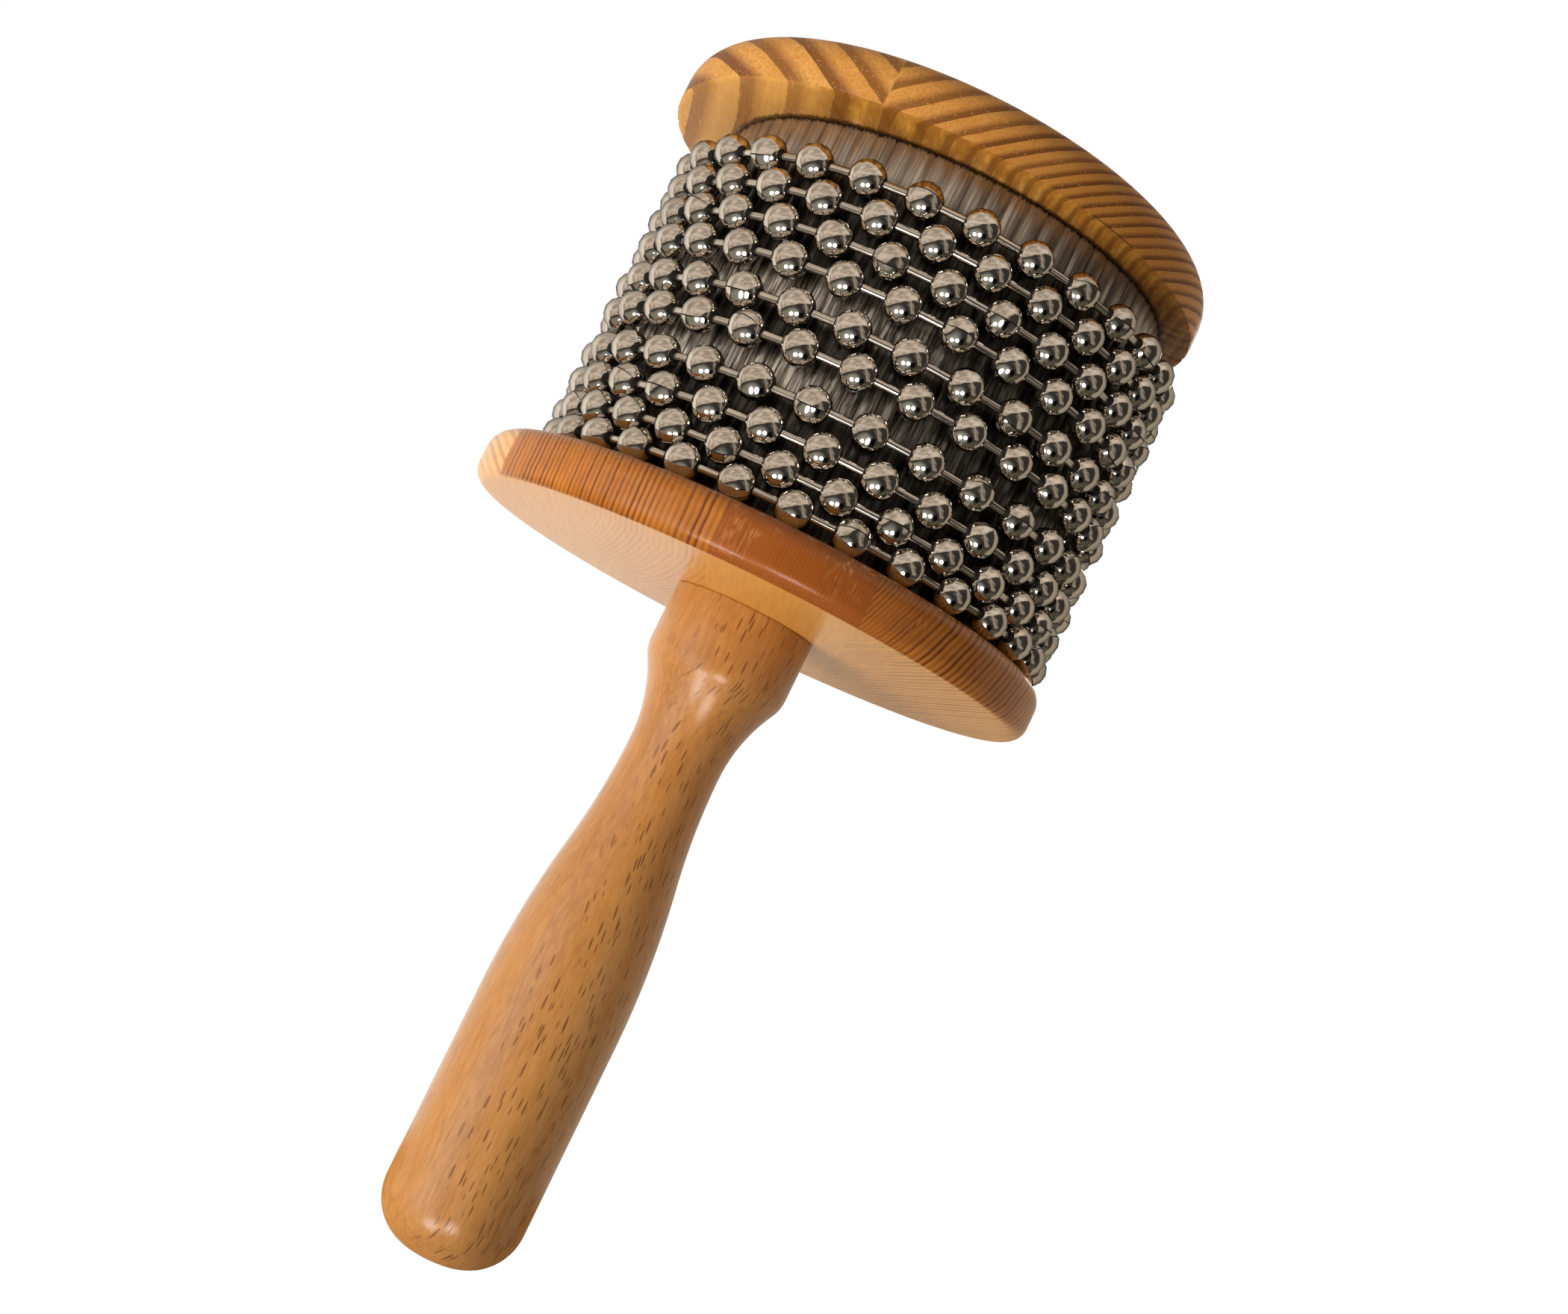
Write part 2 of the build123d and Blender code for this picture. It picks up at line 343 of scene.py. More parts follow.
def ring_count(n, axes, board, foot, wander):
    """How many growth rings lie between a board's origin, at the disc's foot, and a point of it."""
    x, y, z = (n.times(axis, 1 / MM) for axis in axes)
    from_front = n.math("ADD", y, RING_FRONT)
    bow = n.times(from_front, from_front, board.bow)
    along = n.total(n.less(x, board.origin), n.times(from_front, board.lean_y), bow)
    along = n.total(along, n.times(n.less(z, foot / MM), board.lean_z))
    count = n.math("MULTIPLY_ADD", along, 1 / board.pitch, wander)
    if board.more:
        side = 1 if board.fade > 0 else -1
        reach = board.fade * side
        off = n.math("MAXIMUM", n.times(along, side), 0.0)
        ramp = n.math("MINIMUM", off, reach)
        extra = n.math("MULTIPLY_ADD", n.times(ramp, ramp), 0.5 / reach, n.less(off, ramp))
        count = n.math("MULTIPLY_ADD", extra, board.more * side, count)
    return count


# Where a point lies in its ring, a chance share of each ring, how strong the rings and how dark the
# wood look there, and the glue lines
Rings = namedtuple("Rings", "inside odd strength dark glue")


def board_rings(n, place, axes, boards, foot, wander_scale, wander_share):
    """The rings of a disc that is glued from boards."""
    waver = n.less(n.cloud(place, wander_scale, 1.0), 0.5)
    ripple = n.less(n.cloud(place, 420.0, 2.0), 0.5)
    wander = n.total(n.times(waver, wander_share), n.times(ripple, wander_share * 0.16))
    count = ring_count(n, axes, boards[0], foot, wander)
    strength, dark = boards[0].strength, boards[0].dark
    glue = 0.0
    for board in boards[1:]:
        past = n.math("GREATER_THAN", axes["X"], board.start * MM)
        count = n.blend(past, count, ring_count(n, axes, board, foot, wander))
        strength = n.blend(past, strength, board.strength)
        dark = n.blend(past, dark, board.dark)
        if board.glued:
            off = n.math("ABSOLUTE", n.less(axes["X"], board.start * MM))
            glue = n.math("MAXIMUM", glue, n.between(off, 0.05 * MM, 0.14 * MM, 1.0, 0.0))
    number = n.math("FLOOR", count)
    odd = n.add("ShaderNodeTexWhiteNoise", {"W": number}, noise_dimensions="1D").outputs["Value"]
    return Rings(n.math("FRACT", count), odd, strength, dark, glue)


def gloss_pine():
    """The lower disc: pine under thick clear varnish, dark orange where that soaks into end grain."""
    made, n, shader, coordinates = new_finish(
        "gloss_pine",
        Roughness=0.45,
        Specular_IOR_Level=0.15,
        Coat_Weight=0.5,
        Coat_Roughness=0.2,
    )
    place = coordinates["Object"]
    axes = n.axes(place)
    x, z = axes["X"], axes["Z"]
    rings = board_rings(n, place, axes, LOWER_BOARDS, LOWER_Z, wander_scale=45.0, wander_share=1.6)
    end = n.between(n.math("ABSOLUTE", n.axes(coordinates["Normal"])["Y"]), 0.08, 0.30)
    late = n.shades(rings.inside, (0.0, 0.15), (0.3, 0), (0.5, 0.35), (0.68, 1), (0.92, 1), (1.0, 0.15))
    line = n.times(late, rings.strength, n.between(rings.odd, 0.0, 1.0, 0.45, 1.0))
    blotch = n.cloud(place, 110.0, 4.0, 0.6)
    fibre = n.cloud(n.stretched(place, (1400, 60, 1400)), 1.0, 3.0)
    pores = n.cloud(n.stretched(place, (2600, 300, 2600)), 1.0, 2.0)

    # Along the fibres
    face = n.tint(n.between(fibre, 0.3, 0.7), (0.78, 0.350, 0.072, 1), (0.71, 0.298, 0.050, 1))
    clear_left = n.between(x, -32 * MM, -22 * MM, 0.08, 0.40)
    clear_right = n.between(x, 8 * MM, 14 * MM, 0.0, 0.45)
    face = n.tint(n.times(line, n.total(clear_left, clear_right)), face, (0.40, 0.140, 0.020, 1))

    # Across them, round the front and the back of the rim
    rim = n.tint(n.between(blotch, 0.35, 0.68), (0.47, 0.152, 0.016, 1), (0.37, 0.106, 0.008, 1))
    rim = n.tint(n.times(n.math("MAXIMUM", rings.dark, 0.0), 0.75), rim, (0.25, 0.050, 0.004, 1))
    rim = n.tint(n.times(line, 0.95), rim, (0.110, 0.022, 0.002, 1))
    sap = n.tint(n.times(line, 0.8), (0.64, 0.345, 0.120, 1), (0.30, 0.105, 0.020, 1))
    rim = n.tint(n.math("MULTIPLY", rings.dark, -1.0, clamp=True), rim, sap)
    wood = n.tint(end, face, rim)

    # Scuffs on the rim, most of all near the drum
    scratch = n.cloud(n.stretched(place, (2400, 2400, 380), (0, 0.15, 0)), 1.0, 2.0)
    near_drum = n.between(z, LOWER_Z + 1 * MM, LOWER_TOP_Z, 0.25, 1.0)
    worn_board = n.math("MULTIPLY_ADD", rings.dark, 0.75, 0.25, clamp=True)
    scuffs = n.times(end, near_drum, worn_board)
    scuffs = n.times(scuffs, n.between(scratch, 0.46, 0.62), n.between(blotch, 0.44, 0.58))
    wood = n.tint(n.times(scuffs, 0.6), wood, (0.66, 0.30, 0.09, 1))
    wood = n.tint(n.times(rings.glue, end, 0.55), wood, (0.20, 0.065, 0.014, 1))
    height = n.total(n.times(line, -0.6), n.times(pores, 0.5, end), n.times(fibre, 0.3))
    peel = n.total(height, n.times(n.cloud(place, 700.0, 2.0), 2.0))
    n.wire(
        shader,
        Base_Color=wood,
        Normal=n.relief(height, 0.03 * MM, 0.8),
        Coat_Normal=n.relief(peel, 0.02 * MM, 0.6),
    )
    return made


def bold_pine():
    """The upper disc: yellower pine with wide brown rings in two boards, sawn rough round the drum."""
    made, n, shader, coordinates = new_finish(
        "bold_pine",
        Specular_IOR_Level=0.12,
        Coat_Weight=0.14,
        Coat_Roughness=0.22,
    )
    place = coordinates["Object"]
    axes = n.axes(place)
    x, y, z = axes
    rings = board_rings(n, place, axes, UPPER_BOARDS, UPPER_Z, wander_scale=38.0, wander_share=0.36)
    late = n.shades(
        rings.inside, (0.0, 0.04), (0.42, 0.03), (0.60, 0.5), (0.74, 0.95), (0.98, 1), (1.0, 0.04)
    )
    line = n.times(late, n.between(rings.odd, 0.0, 1.0, 0.8, 1.0))
    blotch = n.cloud(place, 90.0, 4.0, 0.6)
    grain = n.cloud(n.stretched(place, (2400, 500, 2400)), 1.0, 3.0, 0.6)

    # The varnished side
    light = n.tint(n.between(blotch, 0.32, 0.68), (0.64, 0.310, 0.076, 1), (0.53, 0.225, 0.042, 1))
    light = n.tint(n.between(grain, 0.35, 0.75), light, (0.45, 0.175, 0.028, 1))
    # The second board turns darker and browner towards +X
    browner = n.times(rings.dark, n.between(x, -12 * MM, 14 * MM), 0.6)
    light = n.tint(browner, light, (0.45, 0.165, 0.024, 1))
    wood = n.tint(n.times(line, 0.97), light, (0.140, 0.040, 0.007, 1))
    resin = n.between(n.cells(place, 1500.0)["Distance"], 0.13, 0.24, 1.0, 0.0)
    wood = n.tint(n.times(resin, n.between(late, 0.3, 0.9), 0.45), wood, (0.66, 0.36, 0.14, 1))
    # The gouge is a dent in relief, painted near-black as the shade inside it
    gouge = n.box(x, z, (26.5 * MM, 167.2 * MM), (4 * MM, 0.22 * MM), 0.16 * MM)
    gouge = n.times(gouge, n.math("LESS_THAN", y, 0.0))
    wood = n.tint(n.times(gouge, 0.85), wood, (0.06, 0.022, 0.004, 1))

    # The sawn side, towards the drum: torn and patchy, cleaner at the far left, with painted shade
    # darkening it at the right
    sawn = n.between(n.axes(coordinates["Normal"])["Z"], -0.35, -0.8)
    torn = n.cloud(n.stretched(place, (1300, 160, 1300)), 1.0, 5.0, 0.7)
    patch = n.cloud(n.stretched(place, (260, 130, 260)), 1.0, 3.0)
    pale = n.tint(n.between(torn, 0.35, 0.65), (0.62, 0.300, 0.045, 1), (0.42, 0.165, 0.018, 1))
    bare = n.tint(n.times(n.between(patch, 0.42, 0.62), 0.7), pale, (0.30, 0.100, 0.009, 1))
    soaked = n.shades(rings.inside, (0.0, 0.55), (0.30, 0.5), (0.42, 0), (0.60, 0.2), (0.72, 1))
    bare = n.tint(n.times(soaked, 0.8), bare, (0.17, 0.052, 0.005, 1))
    clean = n.tint(n.times(line, 0.75), (0.72, 0.35, 0.08, 1), (0.26, 0.085, 0.012, 1))
    bare = n.tint(n.between(x, -19 * MM, -30 * MM, 0.0, 0.85), bare, clean)
    fuzz = n.cloud(n.stretched(place, (420, 900, 420)), 1.0, 4.0, 0.7)
    rubbed = n.times(n.between(fuzz, 0.56, 0.66), 0.5)
    from_drum = n.apart(x, y, (DRUM_X, 0))
    beside = n.between(from_drum, SLEEVE_RADIUS + 1 * MM, SLEEVE_RADIUS + 4 * MM, 1.0, 0.0)
    bare = n.tint(n.times(rubbed, beside, n.between(x, 0.0, -16 * MM)), bare, (0.72, 0.43, 0.22, 1))
    # Painted shade: the sawn side darkens towards +X
    bare = n.tint(n.between(x, 14 * MM, 42 * MM, 0.0, 0.55), bare, (0.13, 0.046, 0.005, 1))
    wood = n.tint(n.times(sawn, 0.9), wood, bare)
    fur = n.times(n.between(torn, 0.58, 0.70), sawn)
    wood = n.tint(n.times(fur, 0.4), wood, (0.66, 0.40, 0.12, 1))
    # Painted shadow: a torn dark line on the sawn side where the sleeve meets it
    to_drum = n.total(from_drum, n.times(torn, -2.2 * MM))
    gap = n.between(to_drum, SLEEVE_RADIUS - 0.9 * MM, SLEEVE_RADIUS - 0.1 * MM, 1.0, 0.0)
    wood = n.tint(n.times(gap, sawn, 0.85), wood, (0.060, 0.022, 0.005, 1))
    wood = n.tint(n.times(rings.glue, 0.5), wood, (0.50, 0.23, 0.06, 1))
    height = n.total(n.times(grain, 0.6), n.times(line, -0.4))
    height = n.total(height, n.times(torn, sawn, 4.0), n.times(gouge, -4.0))
    n.wire(
        shader,
        Base_Color=wood,
        Roughness=n.between(grain, 0.3, 0.7, 0.45, 0.60),
        Normal=n.relief(height, 0.05 * MM, 0.8),
    )
    return made


def core_pine():
    """The drum's wooden core, sawn and unvarnished, with rings round its own middle."""
    made, n, shader, coordinates = new_finish("core_pine", Roughness=0.7)
    place = coordinates["Object"]
    reach = n.vector("LENGTH", n.stretched(place, (1, 1, 0.02)))
    rings = n.math("FRACT", n.total(n.times(reach, 420.0), n.times(n.cloud(place, 40.0), 1.5)))
    fibre = n.cloud(n.stretched(place, (1200, 1200, 60)), 1.0, 4.0)
    early, middle, late = (0.62, 0.40, 0.20), (0.56, 0.33, 0.15), (0.34, 0.16, 0.06)
    wood = n.ramp(rings, [(0.0, early), (0.6, middle), (0.93, late), (1.0, early)])
    wood = n.tint(n.times(fibre, 0.4), wood, (0.42, 0.24, 0.10, 1))
    n.wire(shader, Base_Color=wood, Normal=n.relief(fibre, 0.05 * MM))
    return made


def fluted_steel():
    """Drawn steel sheet: streaked along the flutes, dark between them, worn under the chains, with painted
    shade there.
    """
    made, n, shader, coordinates = new_finish("fluted_steel", Metallic=1.0)
    place = coordinates["Object"]
    x, _, z = n.axes(place)
    streak = n.cloud(n.stretched(place, (2600, 2600, 90)), 1.0, 4.0, 0.65)
    broad = n.cloud(n.stretched(place, (160, 160, 30)), 1.0, 3.0)
    groove = n.add("ShaderNodeAttribute", attribute_name="groove").outputs["Fac"]
    tone = n.total(n.times(streak, 0.8), n.times(broad, 0.25))
    dark, middle, light = (0.20, 0.170, 0.145), (0.40, 0.355, 0.315), (0.66, 0.61, 0.56)
    steel = n.ramp(tone, [(0.34, dark), (0.52, middle), (0.70, light)])
    dirt = n.between(n.total(groove, n.times(streak, 0.35)), 0.72, 1.18)
    dirt = n.times(dirt, n.between(broad, 0.3, 0.7, 0.95, 0.45))
    steel = n.tint(dirt, steel, (0.035, 0.028, 0.022, 1))
    scratch = n.cloud(n.stretched(place, (3600, 3600, 110)), 1.0, 1.0)
    steel = n.tint(n.between(scratch, 0.66, 0.76), steel, (0.86, 0.80, 0.73, 1))

    # Under the chains the sheet is bare and streaked, under painted shade everywhere but in the two wide
    # gaps on the lit side; towards +X the painted shade covers those too
    level = n.total(z, n.times(broad, 2 * MM))
    clean = n.between(level, CHAIN_TOP_Z - 2 * MM, CHAIN_TOP_Z + 2 * MM)
    for below in WIDE_GAPS:
        gap_z = LOWER_Z + (ROWS[below][1] + ROWS[below + 1][1]) / 2 * MM
        off = n.math("ABSOLUTE", n.less(level, gap_z + 1 * MM))
        clean = n.math("MAXIMUM", clean, n.between(off, 1.2 * MM, 4.0 * MM, 1.0, 0.0))
    drawn = n.cloud(n.stretched(place, (1900, 1900, 130)), 1.0, 3.0, 0.7)
    dark, middle, light = (0.05, 0.043, 0.035), (0.44, 0.40, 0.35), (1.0, 0.96, 0.90)
    bare = n.ramp(drawn, [(0.40, dark), (0.50, middle), (0.59, light)])
    worn = n.between(z, CHAIN_TOP_Z, CHAIN_TOP_Z - 3 * MM, 0.0, 0.8)
    steel = n.tint(worn, steel, bare)
    # Painted shade, deepening towards +X, away from the light
    shaded_side = n.between(x, -14 * MM, 20 * MM, 0.0, 0.96)
    painted_shade = n.math("MAXIMUM", n.times(n.less(1.0, clean), 0.91), n.times(worn, shaded_side))
    steel = n.tint(painted_shade, steel, (0.02, 0.018, 0.016, 1))

    # Painted light just below the upper disc, and painted shade in a dark line where the sheet meets it
    painted_light = n.between(z, UPPER_Z - 4 * MM, UPPER_Z - 0.6 * MM, 0.0, 0.2)
    steel = n.tint(painted_light, steel, (0.80, 0.72, 0.64, 1))
    end = n.total(z, n.times(streak, 2.4 * MM))
    edge = n.between(end, UPPER_Z + 0.4 * MM, UPPER_Z + 0.9 * MM)
    steel = n.tint(n.times(edge, 0.9), steel, (0.02, 0.012, 0.007, 1))
    n.wire(
        shader,
        Base_Color=steel,
        Roughness=n.between(streak, 0.3, 0.7, 0.42, 0.28),
        Normal=n.relief(streak, 0.02 * MM, 0.8),
    )
    return made


def bright_nickel(name, dull, flat):
    """Nickel plate, a little smeared, with painted shade from a dark tint at a slant.

    Play has worn its outward side flatter than round.
    """
    # The dark specular tint is painted shade at the outlines
    made, n, shader, coordinates = new_finish(name, Metallic=1.0, Specular_Tint=(0.22, 0.25, 0.28, 1))
    place = coordinates["Object"]
    smear = n.cloud(place, 260.0, 3.0)
    dents = n.cloud(place, 500.0, 1.0)
    metal = n.tint(n.between(smear, 0.35, 0.7), (0.72, 0.665, 0.595, 1), (0.62, 0.565, 0.495, 1))
    from_axis = n.vector("SUBTRACT", place, (DRUM_X, 0, 0))
    outward = n.vector("NORMALIZE", n.vector("MULTIPLY", from_axis, (1, 1, 0)))
    to_world = {"convert_from": "OBJECT", "convert_to": "WORLD"}
    outward = n.add("ShaderNodeVectorTransform", {0: outward}, **to_world).outputs[0]
    round_normal = n.add("ShaderNodeNewGeometry").outputs["Normal"]
    worn = n.vector("NORMALIZE", n.vector("ADD", round_normal, n.vector("SCALE", outward, Scale=flat)))
    bumped = {"Height": dents, "Distance": 0.02 * MM, "Strength": 0.5, "Normal": worn}
    n.wire(
        shader,
        Base_Color=metal,
        Roughness=n.between(smear, 0.35, 0.75, dull, dull + 0.06),
        Normal=n.add("ShaderNodeBump", bumped).outputs["Normal"],
    )
    return made


def seam_shadow():
    """Painted shade, with some oxide, in the seams and holes of the balls."""
    made, n, shader, coordinates = new_finish("seam_shadow", Metallic=0.4, Roughness=0.7)
    dust = n.cloud(coordinates["Object"], 900.0, 3.0)
    n.wire(shader, Base_Color=n.tint(dust, (0.012, 0.010, 0.009, 1), (0.035, 0.030, 0.026, 1)))
    return made


def zinc_screw():
    """Zinc-plated steel with turning marks round the screw's axis."""
    made, n, shader, coordinates = new_finish("zinc_screw", Metallic=1.0)
    place = coordinates["Object"]
    reach = n.vector("LENGTH", n.stretched(place, (1, 1, 0)))
    marks = n.math("SINE", n.times(reach, 42000.0))
    tarnish = n.cloud(place, 500.0, 4.0)
    n.wire(
        shader,
        Base_Color=n.tint(n.between(tarnish, 0.35, 0.7), (0.72, 0.71, 0.67, 1), (0.50, 0.48, 0.42, 1)),
        Roughness=n.between(tarnish, 0.3, 0.7, 0.22, 0.40),
        Normal=n.relief(marks, 0.006 * MM, 0.6),
    )
    return made


def mesh_of(name, points, faces):
    mesh = bpy.data.meshes.new(name)
    mesh.from_pydata(points, [], faces)
    return mesh


def shown(name, data):
    made = bpy.data.objects.new(name, data)
    scene.collection.objects.link(made)
    return made


def piece_from(name, mesh, sharp=40):
    """An object from a closed mesh: doubles merged, faces outward, hard edges kept sharp."""
    work = bmesh.new()
    work.from_mesh(mesh)
    bmesh.ops.remove_doubles(work, verts=work.verts, dist=0.002 * MM)
    bmesh.ops.recalc_face_normals(work, faces=work.faces)
    work.to_mesh(mesh)
    work.free()
    mesh.shade_smooth()
    mesh.set_sharp_from_angle(angle=radians(sharp))
    return shown(name, mesh)


def dress(piece, body, slot, *nodes):
    """Puts a finished piece on its body in place of its CAD nodes."""
    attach(piece, body)
    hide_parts(*nodes)


def arc(centre, radius, start, end, steps):
    """Points (radius, height) along an arc, its angles in degrees from straight outwards."""
    marks = [radians(start + (end - start) * step / steps) for step in range(steps + 1)]
    return [(centre[0] + radius * cos(mark), centre[1] + radius * sin(mark)) for mark in marks]


def sway_turn(low, high):
    """How far two arcs turn that carry an outline from one upright to another."""
    return 2 * atan2(abs(high[0] - low[0]), high[1] - low[1])


def sway_rest(low, high, one_round):
    """The radius of one of those arcs, from the other's."""
    return (high[1] - low[1]) / sin(sway_turn(low, high)) - one_round


def sway(low, high, first_round, steps):
    """Points along the two arcs that carry an outline from one upright to another."""
    turn = sway_turn(low, high)
    way = 1 if high[0] > low[0] else -1
    marks = [turn * step / steps for step in range(steps + 1)]

    def bend(start, radius, side):
        return [
            (start[0] + side * way * radius * (1 - cos(mark)), start[1] + side * radius * sin(mark))
            for mark in marks
        ]

    first = bend(low, first_round, 1)
    last = bend(high, sway_rest(low, high, first_round), -1)
    return first + last[-2::-1]


def turned(outline, sides, ring=False, worn=None):
    """A mesh turned about Z from an outline that runs from the axis back to it, or round a closed ring."""
    points, faces, rows = [], [], []
    for radius, height in outline:
        if radius == 0:
            rows.append([len(points)] * sides)
            points.append((0, 0, height))
            continue
        rows.append(list(range(len(points), len(points) + sides)))
        for side in range(sides):
            angle = 2 * pi * side / sides
            r, z = worn(angle, radius, height) if worn else (radius, height)
            points.append((r * cos(angle), r * sin(angle), z))
    pairs = list(zip(rows, rows[1:])) + ([(rows[-1], rows[0])] if ring else [])
    for low, high in pairs:
        for side in range(sides):
            after = (side + 1) % sides
            corners = [low[side], low[after], high[after], high[side]]
            faces.append(list(dict.fromkeys(corners)))
    return mesh_of("turned", points, faces)


def make_handle():
    waist, collar = (WAIST_RADIUS, WAIST_Z), (COLLAR_RADIUS, COLLAR_Z)
    outline = [(0, TIP_Z)] + arc((GRIP_RADIUS - END_ROUND, -GRIP_HALF), END_ROUND, -90, 0, 16)
    outline += sway((GRIP_RADIUS, GRIP_HALF), waist, SWELL_ROUND, 16)
    outline += sway(waist, collar, sway_rest(waist, collar, SHOULDER_ROUND), 10)[1:]
    outline += arc((COLLAR_RADIUS - COLLAR_EDGE, LOWER_Z - COLLAR_EDGE), COLLAR_EDGE, 0, 90, 4)
    outline += [(TENON_RADIUS, LOWER_Z), (TENON_RADIUS, TENON_Z), (0, TENON_Z)]
    handle = piece_from("beech_handle", turned(outline, 128))
    handle.data.materials.append(turned_beech())
    dress(handle, "frame", "beech", "handle")


def make_lower_disc():
    low, high = LOWER_HANDLE_ROUND, LOWER_DRUM_ROUND
    halfway = 30 * MM
    outline = [(LOWER_BORE, LOWER_Z), (halfway, LOWER_Z)]
    outline += arc((LOWER_RADIUS - low, LOWER_Z + low), low, -90, 0, 10)
    outline += arc((LOWER_RADIUS - high, LOWER_TOP_Z - high), high, 0, 90, 10)
    outline += [(halfway, LOWER_TOP_Z), (LOWER_BORE, LOWER_TOP_Z)]
    disc = piece_from("glossy_lower_disc", turned(outline, 256, ring=True))
    disc.data.materials.append(gloss_pine())
    dress(disc, "frame", "gloss_pine", "lower_disc")


def torn_edge(angle, radius, height):
    """The saw tore small splinters out of the upper disc's drum-side edge."""
    near = max(0.0, 1 - (height - UPPER_Z) / SPLINTER_RISE)
    if radius < UPPER_RADIUS - SPLINTER_BAND or near == 0:
        return radius, height
    spot = Vector((cos(angle), sin(angle), 0)) * SPLINTER_PITCH
    tear = near * max(0.0, noise.noise(spot) + 0.35 * noise.noise(spot * 3.1) - 0.05)
    return radius - SPLINTER_INWARD * tear, height + SPLINTER_UPWARD * tear


def make_upper_disc():
    top = UPPER_TOP_ROUND
    inside_drum, halfway, plain_rim = 38 * MM, 25 * MM, UPPER_Z + 2 * MM
    outline = [(SCREW_HOLE, UPPER_Z), (inside_drum, UPPER_Z)]
    outline += [(UPPER_RADIUS - UPPER_BREAK, UPPER_Z)]
    outline += [(UPPER_RADIUS - 0.08 * MM, UPPER_Z + UPPER_BREAK * 0.5)]
    outline += [(UPPER_RADIUS, UPPER_Z + UPPER_BREAK * 1.6), (UPPER_RADIUS, plain_rim)]
    outline += arc((UPPER_RADIUS - top, UPPER_TOP_Z - top), top, 0, 90, 14)
    outline += [(halfway, UPPER_TOP_Z), (SCREW_SINK_RADIUS, UPPER_TOP_Z)]
    outline += [(SCREW_HOLE, UPPER_TOP_Z - SCREW_SINK_RADIUS + SCREW_HOLE)]
    disc = piece_from("bold_upper_disc", turned(outline, 512, ring=True, worn=torn_edge), sharp=30)
    disc.data.materials.append(bold_pine())
    dress(disc, "frame", "pine", "upper_disc")


def new_tree(name, **inputs):
    """A Geometry Nodes tree with named inputs, its node helper and its ends."""
    tree = bpy.data.node_groups.new(name, "GeometryNodeTree")
    tree.interface.new_socket("Geometry", in_out="OUTPUT", socket_type="NodeSocketGeometry")
    for label, kind in inputs.items():
        tree.interface.new_socket(label.replace("_", " "), in_out="INPUT", socket_type="NodeSocket" + kind)
    n = Nodes(tree)
    return n, n.add("NodeGroupInput").outputs, n.add("NodeGroupOutput").inputs[0]


def grown(name, n, sharp=40, **values):
    """The plain piece that a Geometry Nodes tree makes from these values."""
    carrier = shown(name + "_nodes", bpy.data.meshes.new(name + "_nodes"))
    modifier = carrier.modifiers.new("Nodes", "NODES")
    modifier.node_group = n.tree
    for item in n.tree.interface.items_tree:
        if item.in_out == "INPUT":
            modifier[item.identifier] = values[item.name.replace(" ", "_")]
    ready = carrier.evaluated_get(bpy.context.evaluated_depsgraph_get())
    mesh = bpy.data.meshes.new_from_object(ready)
    bpy.data.objects.remove(carrier)
    for slot in reversed(range(len(mesh.materials))):
        if mesh.materials[slot] is None:
            mesh.materials.pop(index=slot)
    return piece_from(name, mesh, sharp)


def chance(n, low, high, index, seed):
    inputs = {"Min": low, "Max": high, "ID": index, "Seed": seed}
    return n.add("FunctionNodeRandomValue", inputs, data_type="FLOAT").outputs["Value"]


def on_circle(n, angle, radius, axis_x, height):
    x = n.math("MULTIPLY_ADD", n.math("COSINE", angle), radius, axis_x)
    return n.joined(x, n.times(n.math("SINE", angle), radius), height)


def sleeve_tree():
    """Fluted sheet bent round the drum: ribs between uneven grooves, open at a seam at the back."""
    n, given, result = new_tree(
        "Fluted sheet",
        Crest_Radius="Float",
        Sheet="Float",
        Flutes="Int",
        Flute_Depth="Float",
        Seam_Gap="Float",
        Foot="Float",
        Height="Float",
        Axis_X="Float",
        Seed="Int",
        Steel="Material",
    )
    columns = n.math("MULTIPLY_ADD", given["Flutes"], FLUTE_COLUMNS, 1.0)
    size = {"Size X": 1.0, "Size Y": 1.0, "Vertices X": columns, "Vertices Y": SLEEVE_RINGS}
    grid = n.add("GeometryNodeMeshGrid", size).outputs
    u, v, _ = n.axes(grid["UV Map"])
    flute = n.times(u, given["Flutes"])
    rib = n.math("MULTIPLY_ADD", n.math("FRACT", flute), 2.0, -1.0)
    dip = n.times(rib, rib)
    depth = chance(n, 0.55, 1.0, n.math("FLOOR", flute), given["Seed"])
    dents = n.cloud(n.joined(n.times(u, 60.0), n.times(v, 4.0), 0.0), 1.0, 2.0)
    sunk = n.times(given["Flute Depth"], n.total(n.times(dip, depth), n.times(dents, 0.25)))
    radius = n.less(given["Crest Radius"], sunk)
    gap = n.math("DIVIDE", given["Seam Gap"], given["Crest Radius"])
    angle = n.total(n.times(u, n.less(2 * pi, gap)), n.times(gap, 0.5), pi / 2)
    height = n.math("MULTIPLY_ADD", v, given["Height"], given["Foot"])
    where = on_circle(n, angle, radius, given["Axis X"], height)
    marks = {"Geometry": grid["Mesh"], "Name": "groove", "Value": dip}
    marked = n.add("GeometryNodeStoreNamedAttribute", marks, data_type="FLOAT", domain="POINT").outputs[0]
    skin = n.add("GeometryNodeSetPosition", {"Geometry": marked, "Position": where}).outputs[0]
    normal = n.add("GeometryNodeInputNormal").outputs[0]
    inward = n.vector("SCALE", normal, Scale=n.times(given["Sheet"], -1.0))
    thick = {"Mesh": skin, "Offset": inward, "Offset Scale": 1.0, "Individual": False}
    back = n.add("GeometryNodeExtrudeMesh", thick).outputs["Mesh"]
    shell = n.add("GeometryNodeJoinGeometry", {0: skin})
    n.feed(shell.inputs[0], n.add("GeometryNodeFlipFaces", {0: back}).outputs[0])
    close = {"Geometry": shell.outputs[0], "Distance": 0.001 * MM}
    whole = n.add("GeometryNodeMergeByDistance", close).outputs[0]
    real = n.add("GeometryNodeRealizeInstances", {0: whole}).outputs[0]
    painted = n.add("GeometryNodeSetMaterial", {"Geometry": real, "Material": given["Steel"]})
    n.feed(result, painted.outputs[0])
    return n


